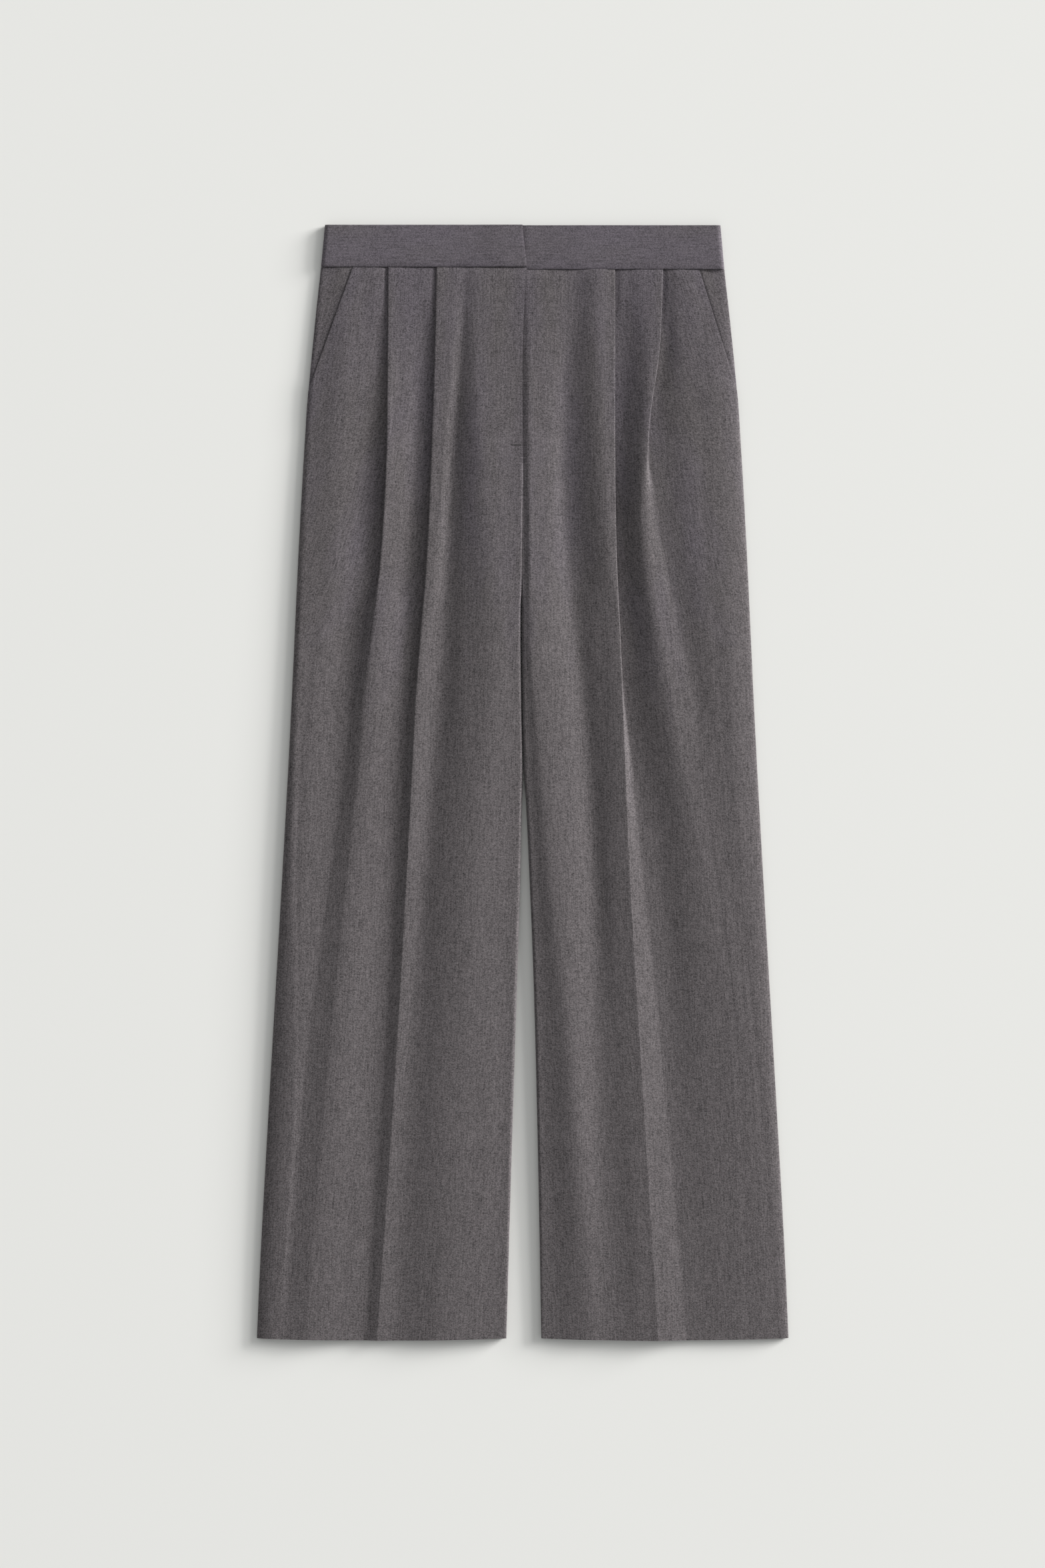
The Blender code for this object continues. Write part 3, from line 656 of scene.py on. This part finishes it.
# %% Backs
BACK_STEP = 12.0
BACK_POINTS = 60
BACK_CREASES = [
    Crease(150, 120, 620, 138, 14, 0.35),
    Crease(380, 60, 900, 78, 18, 0.3),
    Crease(520, 190, 1000, 212, 16, 0.35),
    Crease(90, 40, 400, 52, 12, 0.25),
]
BACK_SHIFT = 6.0  # further out in the left back, further in in the right one
RIDGE, RIDGE_WIDTH = 0.35, 3.5  # the pressed crease in a back


def back_section(down, side):
    """One cross-section of a back, flat below and turned up at both edges."""
    edge = row_at(SIDES, down)
    floor = CLOTH_WALL / 2
    rise = edge.seam_height - CLOSED_SEAM / 2 - floor
    width = max(rise, 3.0)
    side_at = edge.at - CLOTH_WALL / 2 - width
    angles = np.linspace(0, math.pi / 2, EDGE_POINTS, endpoint=False)
    points = list(zip(side_at + width * np.cos(angles), floor + rise * (1 - np.sin(angles))))
    share = leg_share(down)
    leg_at = getattr(row_at(INNERS, down), side) + CLOTH_WALL / 2
    end_at = CLOSED_SEAM / 2 + (leg_at - CLOSED_SEAM / 2) * share
    points += [(at, floor) for at in np.linspace(side_at, end_at + width, BACK_POINTS)]
    drop = INNER_SEAM_HEIGHT - CLOSED_SEAM / 2 - floor
    return points + inner_roll(end_at, floor, drop, width, share)


def back_row(down, side):
    """A row of a back's points, with its faint ridge and soft creases."""
    section = np.array(back_section(down, side))
    ats = section[:, 0]
    crease_at = row_at(FOLDS[side], down).crease_at
    lift = RIDGE * np.exp(-np.abs(ats - crease_at) / RIDGE_WIDTH)
    lift += crease_lift(BACK_CREASES, down, ats, 1.0, BACK_SHIFT * SIDE_OF[side])
    section[:, 1] += lift * (section[:, 1] < CLOTH_WALL / 2 + 0.01)
    return section


backs = panels("back", back_row, levels(PANEL_TOP, LENGTH, BACK_STEP), BACK_POINTS // 2)

# %% [markdown]
# ## The hip pieces behind the pockets
#
# A slanted pocket is an opening between two layers: the front's turned edge on top, and
# below it a hip piece that shows between that edge and the side seam.


# %% Pocket sides
POCKET_STEP = 6.0
POCKET_POINTS = 64
POCKET_DIP, DIP_WIDTH = 0.4, 1.1  # how the hip piece sinks under the pocket's edge
POCKET_PULL = 0.35  # how far the waist seam draws it down


def pocket_row(down, side):
    """A row of the hip piece that fills the slanted pocket opening."""
    fold = row_at(FOLDS[side], down)
    hip = side_section(down, side, fold, fold.pleat_at - 2)
    edge_at = pocket_at(min(down, POCKET_END), side)
    section = np.array(divided(hip, hip[0][0], edge_at - POCKET_LAP, POCKET_POINTS))
    beside = (section[:, 0] - edge_at) / DIP_WIDTH
    section[:, 1] -= POCKET_DIP * np.exp(-beside ** 2)
    section[:, 1] -= POCKET_PULL * math.exp(-(down - PANEL_TOP) / 1.6)
    return section


pocket_downs = levels(PANEL_TOP, POCKET_END + POCKET_TAIL, POCKET_STEP)
pocket_sides = panels("pocket_side", pocket_row, pocket_downs, POCKET_POINTS // 2)

# %% [markdown]
# ## The waistband
#
# A waistband is a strip cut across the grain, stiffened and folded double, so it is thicker
# and flatter than the panels. It runs round from the centre front to the centre back in
# two halves. The right one ends on top at the fly, with an edge that swings a little
# towards the left, and the left one goes on below it as an extension for the hook.

# %% Waistband
BAND_POINTS = 70
BAND_ROLL_POINTS = 20
BAND_BACK_POINTS = 30
BAND_ROLL_WIDTH = 3.6  # the fold of the waistband at each side
BAND_HEIGHT = 4.9  # middle of its front wall
BAND_LEVEL_AT = 52.0  # from here out the front wall is level
BAND_END_OVER = [(0, 0.1), (16, -1.2), (29, -3.0), (41, -4.4)]  # (down, at) of the top end
BAND_END_UNDER = 32.0  # how far the extension reaches past the centre front
BAND_FRONTS = {"right": [(18.0, 5.9)], "left": [(-9.0, 2.9), (6.0, 4.5)]}  # knots at the front
BAND_EDGE = 0.45  # rounding of its edges
BAND_PULLS = [(0.6, 1.0), (0.35, 9.0)]  # how deep the seam draws it down, and how far up


def band_section(down, side):
    """One cross-section of a waistband half, from the centre front round to the back."""
    inner_at = -BAND_END_UNDER
    if side == "right":
        inner_at = float(np.interp(down, *zip(*BAND_END_OVER)))
    side_at = row_at(SIDES, down).at - BAND_WALL / 2 - BAND_ROLL_WIDTH
    floor = BAND_WALL / 2
    knots = [(inner_at, BAND_FRONTS[side][0][1])] + BAND_FRONTS[side]
    knots += [(BAND_LEVEL_AT, BAND_HEIGHT), (side_at, BAND_HEIGHT)]
    points = run(knots, BAND_POINTS)[::-1]
    reach = (BAND_HEIGHT - floor) / 2
    angles = math.pi / 2 - math.pi * np.arange(1, BAND_ROLL_POINTS + 1) / BAND_ROLL_POINTS
    points += list(zip(side_at + BAND_ROLL_WIDTH * np.cos(angles),
                       floor + reach + reach * np.sin(angles)))
    back = np.linspace(side_at, CLOSED_SEAM / 2, BAND_BACK_POINTS)
    return points + [(at, floor) for at in back[1:]]


def band_row(down, side):
    """A row of half the waistband, drawn down a little along the waist seam."""
    # Start at the centre back, as the other panels start outside
    section = np.array(band_section(down, side)[::-1])
    face = section[:, 1] > BAND_HEIGHT / 2
    drawn = sum(depth * math.exp((down - BAND) / fade) for depth, fade in BAND_PULLS)
    wave = 0.12 * waver(section[:, 0] / 21 + down / 30, 4)
    section[:, 1] += np.where(face, wave - drawn, 0.0)
    return section


band_downs = [0.0, 0.5, 1.4, *np.linspace(4, BAND - 2.5, 12), BAND - 1.2, BAND - 0.5, BAND - 0.1]
waistbands = panels("waistband", band_row, band_downs, BAND_POINTS, BAND_WALL, BAND_EDGE)

# %% [markdown]
# ## The bar tack at the foot of the fly
#
# A bar tack is a short, dense row of thread that stops the fly from tearing open. A machine
# leaves its stitches a little uneven, so each one is modelled at its own length and place,
# and the row is then joined.


# %% Bar tack
def bevel_all(offset, segments):
    """Bevel every edge of the active piece."""
    bpy.ops.object.mode_set(mode="EDIT")
    bpy.ops.mesh.select_all(action="SELECT")
    bpy.ops.mesh.bevel(offset=offset * MM, segments=segments, affect="EDGES")
    bpy.ops.object.mode_set(mode="OBJECT")


def settle(piece):
    """Put a piece's place, turn and scale into its mesh."""
    select([piece])
    bpy.ops.object.transform_apply(location=True, rotation=True, scale=True)


def joined(pieces, name):
    """Join pieces into one mesh under this name."""
    select(pieces)
    bpy.ops.object.join()
    pieces[0].name = name
    pieces[0].data.name = name
    settle(pieces[0])
    return pieces[0]


def front_height(side, down, at):
    """Height of the top of a front's cloth at a place inside the crease."""
    section = np.array(front_section(down, side))[CREASE_INDEX + TURN_POINTS:]
    return float(np.interp(-at, -section[:, 0], section[:, 1])) + CLOTH_WALL / 2


TACK_STITCHES = 20
TACK_WIDTH = 9.0
TACK_INSET = 1.6  # from the fly's edge to the first stitch
STITCH = 1.6  # length of one stitch, give or take 0.3
THREAD_RADIUS = 0.17
stitches = []
for i in range(TACK_STITCHES):
    at = TACK_INSET + TACK_WIDTH * i / (TACK_STITCHES - 1)
    length = STITCH + 0.3 * math.sin(7.0 * i)
    deselect()
    bpy.ops.mesh.primitive_cylinder_add(
        vertices=6, radius=THREAD_RADIUS * MM, depth=length * MM,
        rotation=(math.pi / 2, 0, 0.12),
        location=(-at * MM, (height_of(TACK - 0.6) + 0.12 * math.sin(5.0 * i)) * MM,
                  (front_height("right", TACK, at) + 0.06) * MM))
    bevel_all(0.1, 1)
    stitches.append(bpy.context.object)
bar_tack = joined(stitches, "fly_bar_tack")
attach(bar_tack, "root")
report([bar_tack])

# %% [markdown]
# ## The closed zip under the fly
#
# Nothing of the zip shows while the fly is closed. It has a woven tape, two rows of nylon
# elements that mesh, and a slider with its pull tab. The elements are one small block,
# bevelled once and then copied by turns.

# %% Zip
ZIP_TAPE = 22.0  # width of both tapes
ZIP_TAPE_WALL = 0.7
ZIP_INSET = 4.5  # from the centre line to the tape
ZIP_TOP = BAND + 2.0
ZIP_MIDDLE = -(ZIP_INSET + ZIP_TAPE / 2)
ZIP_BASE = 1.45  # height of the tape's lower face
TAPE_STEP = 8.0
TAPE_POINTS = 24
TOOTH_PITCH = 1.5


def zip_block(ats, downs, heights, rounding):
    """A bevelled block, from the zip's middle out, its top down and its tape up."""
    spans = [[ZIP_MIDDLE + at for at in ats], [height_of(ZIP_TOP + down) for down in downs],
             [ZIP_BASE + ZIP_TAPE_WALL + height for height in heights]]
    deselect()
    bpy.ops.mesh.primitive_cube_add(size=1, location=[sum(span) / 2 * MM for span in spans])
    piece = bpy.context.object
    piece.scale = [(span[1] - span[0]) * MM for span in spans]
    settle(piece)
    bevel_all(rounding, 2)
    return piece


tape_downs = levels(ZIP_TOP, TACK - 1, TAPE_STEP)
tape_ats = np.linspace(-(ZIP_MIDDLE - ZIP_TAPE / 2), -(ZIP_MIDDLE + ZIP_TAPE / 2), TAPE_POINTS)
tape_sections = [[(at, ZIP_BASE + ZIP_TAPE_WALL / 2 + 0.05 * math.sin(at * 2.2 + down / 9))
                  for at in tape_ats] for down in tape_downs]
zip_tape = cloth_sheet("zip_tape", tape_sections, tape_downs, -1, ZIP_TAPE_WALL,
                       TAPE_POINTS // 2)
report([zip_tape])

# %% Zip coil and slider
first_tooth = zip_block((-2.1, 0.7), (7, 6.1), (-0.1, 0.75), 0.16)
teeth = [first_tooth]
for i in range(1, int((TACK - ZIP_TOP - 10) / TOOTH_PITCH * 2)):
    tooth = first_tooth.copy()
    tooth.data = first_tooth.data.copy()
    bpy.context.scene.collection.objects.link(tooth)
    tooth.location = ((1.4 if i % 2 else 0.0) * MM, -i * TOOTH_PITCH / 2 * MM, 0)
    teeth.append(tooth)
zip_teeth = joined(teeth, "zip_teeth")
slider_parts = [
    zip_block((-3.9, 3.9), (14.5, 5), (0.1, 1.9), 0.5),
    zip_block((-1.0, 1.0), (12, 7), (1.5, 2.3), 0.3),
    zip_block((-2.3, 2.3), (31, 11), (0.95, 1.5), 0.22),
]
zip_slider = joined(slider_parts, "zip_slider")
for piece in (zip_tape, zip_teeth, zip_slider):
    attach(piece, "root")
    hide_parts("fly_zip")
report([zip_teeth, zip_slider])

# %% [markdown]
# ## The weave, as a node group
#
# The suiting is spun from mixed light and dark fibre, so close up it isn't one grey: it has
# fine specks, short thick-and-thin threads along the warp and across the weft, and slow
# drifts of warm and cool. All the cloth shares this, so it is one node group, read from the
# UV map in metres.

# %% Weave group
weave = bpy.data.node_groups.new("mixed_fibre_weave", "ShaderNodeTree")
SUITING = {"Slub": 1.1, "Speck": 2.4, "Drift": 0.16, "Weft": 0.45, "Fade": 0.0}
INPUTS = {"Grain": "Vector", "Cool": "Color", "Warm": "Color", **dict.fromkeys(SUITING, "Float")}
OUTPUTS = {"Color": "Color", "Height": "Float", "Roughness": "Float"}
for in_out, sockets in (("INPUT", INPUTS), ("OUTPUT", OUTPUTS)):
    for name, kind in sockets.items():
        weave.interface.new_socket(name, in_out=in_out, socket_type=f"NodeSocket{kind}")
group_in = weave.nodes.new("NodeGroupInput")
group_out = weave.nodes.new("NodeGroupOutput")


def fill(node, values):
    """Set a node's inputs, by their names."""
    for name, value in values.items():
        node.inputs[name].default_value = value


def stretched_noise(tree, vector, across, along, detail, seed):
    """Noise whose grains are this wide and this long, in metres."""
    mapping = tree.nodes.new("ShaderNodeMapping")
    fill(mapping, {"Location": (seed, seed * 0.7, seed * 0.3),
                   "Scale": (1 / across, 1 / along, 1 / across)})
    noise = tree.nodes.new("ShaderNodeTexNoise")
    fill(noise, {"Scale": 1.0, "Detail": detail, "Roughness": 0.6})
    tree.links.new(vector, mapping.inputs["Vector"])
    tree.links.new(mapping.outputs["Vector"], noise.inputs["Vector"])
    return noise.outputs["Fac"]


def arithmetic(tree, operation, first, second=None, third=None):
    """One Math node on sockets or plain numbers."""
    node = tree.nodes.new("ShaderNodeMath")
    node.operation = operation
    for socket, value in zip(node.inputs, (first, second, third)):
        if value is None:
            continue
        if isinstance(value, (int, float)):
            socket.default_value = value
        else:
            tree.links.new(value, socket)
    return node.outputs["Value"]


print("weave inputs:", *INPUTS)


# %% Colour of the weave
def centred(value, amount):
    """A noise moved to swing about 0, times one of the group's amounts."""
    value = arithmetic(weave, "SUBTRACT", value, 0.5)
    return arithmetic(weave, "MULTIPLY", value, group_in.outputs[amount])


grain = group_in.outputs["Grain"]
warp = stretched_noise(weave, grain, 0.0013, 0.022, 2.0, 3.1)
weft = stretched_noise(weave, grain, 0.007, 0.0011, 2.0, 7.7)
speck = stretched_noise(weave, grain, 0.0013, 0.0013, 2.0, 1.3)
drift = stretched_noise(weave, grain, 0.016, 0.20, 1.0, 5.9)
slubs = arithmetic(weave, "SUBTRACT", weft, 0.5)
slubs = arithmetic(weave, "MULTIPLY_ADD", slubs, group_in.outputs["Weft"], warp)
slubs = centred(slubs, "Slub")
specks = centred(speck, "Speck")
tone = arithmetic(weave, "ADD", slubs, specks)
tone = arithmetic(weave, "ADD", tone, centred(drift, "Drift"))
tone = arithmetic(weave, "ADD", tone, 1.0)

# Slow patches of cool and warm grey. Fade lets the warm one win towards the hem.
patches = stretched_noise(weave, grain, 0.045, 0.16, 2.0, 9.4)
patches = arithmetic(weave, "MULTIPLY_ADD", patches, 3.0, -1.35)
parts = weave.nodes.new("ShaderNodeSeparateXYZ")
weave.links.new(grain, parts.inputs["Vector"])
faded = arithmetic(weave, "MULTIPLY", parts.outputs["Y"], group_in.outputs["Fade"])
patches = arithmetic(weave, "SUBTRACT", patches, faded)
tint = weave.nodes.new("ShaderNodeMix")
tint.data_type = "RGBA"
weave.links.new(patches, tint.inputs["Factor"])
weave.links.new(group_in.outputs["Cool"], tint.inputs["A"])
weave.links.new(group_in.outputs["Warm"], tint.inputs["B"])
shaded = weave.nodes.new("ShaderNodeVectorMath")
shaded.operation = "SCALE"
weave.links.new(tint.outputs["Result"], shaded.inputs["Vector"])
weave.links.new(tone, shaded.inputs["Scale"])
weave.links.new(shaded.outputs["Vector"], group_out.inputs["Color"])
print("weave colour:", len(weave.nodes), "nodes")

# %% Threads, over and under, for close views
YARN = 0.00046  # width of one yarn, in metres
waves = []
for axis in ("X", "Y"):
    turns = arithmetic(weave, "MULTIPLY", parts.outputs[axis], math.pi / YARN)
    waves.append(arithmetic(weave, "SINE", turns))
threads = arithmetic(weave, "MULTIPLY", waves[0], waves[1])
threads = arithmetic(weave, "MULTIPLY_ADD", threads, 0.18, 0.5)
height = arithmetic(weave, "MULTIPLY_ADD", slubs, 0.9, threads)
height = arithmetic(weave, "MULTIPLY_ADD", specks, 0.7, height)
weave.links.new(height, group_out.inputs["Height"])
rough = arithmetic(weave, "MULTIPLY_ADD", speck, 0.12, 0.82)
weave.links.new(rough, group_out.inputs["Roughness"])
print("weave group:", len(weave.nodes), "nodes")

# %% [markdown]
# ## The finishes
#
# The panels have the grain down the leg; the waistband is cut across, so the same group
# gets its UV map turned by a quarter. Sheen gives wool its soft light at grazing angles.
# The zip and the hook have plain finishes of their own.


# %% Finishes
def finish(name, roughness, metallic=0.0):
    """A new material with its Principled shader."""
    material = bpy.data.materials.new(name)
    material.use_nodes = True
    shader = material.node_tree.nodes["Principled BSDF"]
    fill(shader, {"Roughness": roughness, "Metallic": metallic})
    return material, shader


def suiting(name, cool, warm, turn=0.0, **amounts):
    """Woven cloth with its grain turned by this angle, and its own amounts of any input."""
    material, shader = finish(name, 0.85)
    tree = material.node_tree
    fill(shader, {"Specular IOR Level": 0.25, "Sheen Weight": 0.12, "Sheen Roughness": 0.45})
    cloth_map = tree.nodes.new("ShaderNodeUVMap")
    cloth_map.uv_map = "cloth"
    turned = tree.nodes.new("ShaderNodeMapping")
    fill(turned, {"Rotation": (0, 0, turn)})
    pattern = tree.nodes.new("ShaderNodeGroup")
    pattern.node_tree = weave
    fill(pattern, {"Cool": (*cool, 1), "Warm": (*warm, 1), **SUITING, **amounts})
    bump = tree.nodes.new("ShaderNodeBump")
    fill(bump, {"Strength": 0.35, "Distance": 0.0003})
    tree.links.new(cloth_map.outputs["UV"], turned.inputs["Vector"])
    tree.links.new(turned.outputs["Vector"], pattern.inputs["Grain"])
    tree.links.new(pattern.outputs["Color"], shader.inputs["Base Color"])
    tree.links.new(pattern.outputs["Roughness"], shader.inputs["Roughness"])
    tree.links.new(pattern.outputs["Height"], bump.inputs["Height"])
    tree.links.new(bump.outputs["Normal"], shader.inputs["Normal"])
    return material


def dress(pieces, material):
    """Give these pieces this one material."""
    for piece in pieces:
        piece.data.materials.clear()
        piece.data.materials.append(material)


trouser_cloth = suiting("suiting_down_the_leg", cool=(0.0995, 0.0872, 0.0981),
                        warm=(0.0988, 0.0880, 0.0902), Fade=2.4)
band_cloth = suiting("suiting_across", cool=(0.108, 0.0940, 0.1090),
                     warm=(0.103, 0.0910, 0.0980), turn=math.pi / 2,
                     Slub=0.85, Speck=1.9, Weft=0.25)
zip_cloth = suiting("zip_tape_weave", cool=(0.062, 0.057, 0.062),
                    warm=(0.055, 0.051, 0.053), Slub=0.2)
dress([*fronts.values(), *backs.values(), *pocket_sides.values()], trouser_cloth)
dress(waistbands.values(), band_cloth)
dress([zip_tape], zip_cloth)
print("cloth finishes:", trouser_cloth.name, band_cloth.name, zip_cloth.name)


# %% Thread, nylon and metal
def fine_grain(material, shader, color, spread, width):
    """Vary a material's colour a little with fine noise on Object coordinates."""
    tree = material.node_tree
    place = tree.nodes.new("ShaderNodeTexCoord")
    noise = stretched_noise(tree, place.outputs["Object"], width, width, 2.0, 2.0)
    tone = arithmetic(tree, "MULTIPLY_ADD", noise, 2 * spread, 1 - spread)
    shade = tree.nodes.new("ShaderNodeVectorMath")
    shade.operation = "SCALE"
    fill(shade, {"Vector": color})
    tree.links.new(tone, shade.inputs["Scale"])
    tree.links.new(shade.outputs["Vector"], shader.inputs["Base Color"])


thread, shader = finish("tack_thread", 0.6)
fine_grain(thread, shader, (0.090, 0.082, 0.086), 0.2, 0.0005)
nylon, shader = finish("zip_nylon", 0.4)
fine_grain(nylon, shader, (0.05, 0.046, 0.049), 0.1, 0.002)
metal, shader = finish("plated_metal", 0.32, metallic=1.0)
fine_grain(metal, shader, (0.55, 0.55, 0.56), 0.12, 0.0008)
dress([bar_tack], thread)
dress([zip_teeth], nylon)
dress([zip_slider], metal)
fastenings = [bpy.data.objects[node] for node in ("waist_hook", "waist_bar")]
for fastening in fastenings:
    for slot in fastening.material_slots:
        slot.material = metal
print("hook and bar:", [len(fastening.material_slots) for fastening in fastenings])

# %% [markdown]
# ## The sheets of cloth
#
# The cut of a front is wider than what shows, because the pleats take it up.


# %% Sheets
print("sheets of cloth: 9")

# %% [markdown]
# ## The floor, the light and the camera
#
# The trousers lie on a plain pale floor. Two large soft lights stand low on the left leg's
# side and a little towards the waist, one above the other, so every fold is bright on that
# side and shaded on the other. The lower one draws the long soft shadow. An even sky fills
# the shadows, and the camera looks straight down.

# %% Floor
deselect()
bpy.ops.mesh.primitive_plane_add(size=8.0, location=(0, 0, -0.0003))
floor = bpy.context.object
floor.name = "floor"
floor_paint, shader = finish("pale_floor", 0.9)
fill(shader, {"Base Color": (0.80, 0.795, 0.765, 1), "Specular IOR Level": 0.1})
dress([floor], floor_paint)
print("floor:", floor.dimensions[:2])

# %% Light
def soft_light(name, elevation, turn, distance, size, energy):
    """A large rectangular light at this height and direction, facing the trousers."""
    up, around = math.radians(elevation), math.radians(turn)
    place = (distance * math.cos(up) * math.cos(around),
             distance * math.cos(up) * math.sin(around), distance * math.sin(up))
    deselect()
    bpy.ops.object.light_add(type="AREA", location=place)
    light = bpy.context.object
    light.name = name
    light.data.shape = "RECTANGLE"
    light.data.size, light.data.size_y = size
    light.data.energy = energy
    light.rotation_euler = (math.pi / 2 - up, 0, around + math.pi / 2)
    return light


key = soft_light("key_light", elevation=22.0, turn=26.0, distance=40.0,
                 size=(22.0, 12.4), energy=10850.0)
low = soft_light("low_light", elevation=11.0, turn=25.0, distance=40.0,
                 size=(18.0, 8.0), energy=26300.0)
world = bpy.data.worlds.new("soft_room")
bpy.context.scene.world = world
world.use_nodes = True
sky = world.node_tree.nodes["Background"]
fill(sky, {"Color": (0.97, 0.99, 1.0, 1), "Strength": 0.46})
bpy.context.scene.view_settings.view_transform = "Standard"
print("lights:", {light.name: round(light.location.z, 2) for light in (key, low)})

# %% Camera
LENS = 100.0  # a long lens, so that the edges aren't seen at a slant
FILM = 36.0
VIEW_HEIGHT = 1.5053  # metres of floor from the top to the bottom of the view
deselect()
bpy.ops.object.camera_add(location=(-0.0002, -0.0013, LENS / FILM * VIEW_HEIGHT + 0.005))
camera = bpy.context.object
camera.data.lens = LENS
camera.data.sensor_width = FILM
bpy.context.scene.camera = camera
print("camera", round(camera.location.z, 2), "m up")
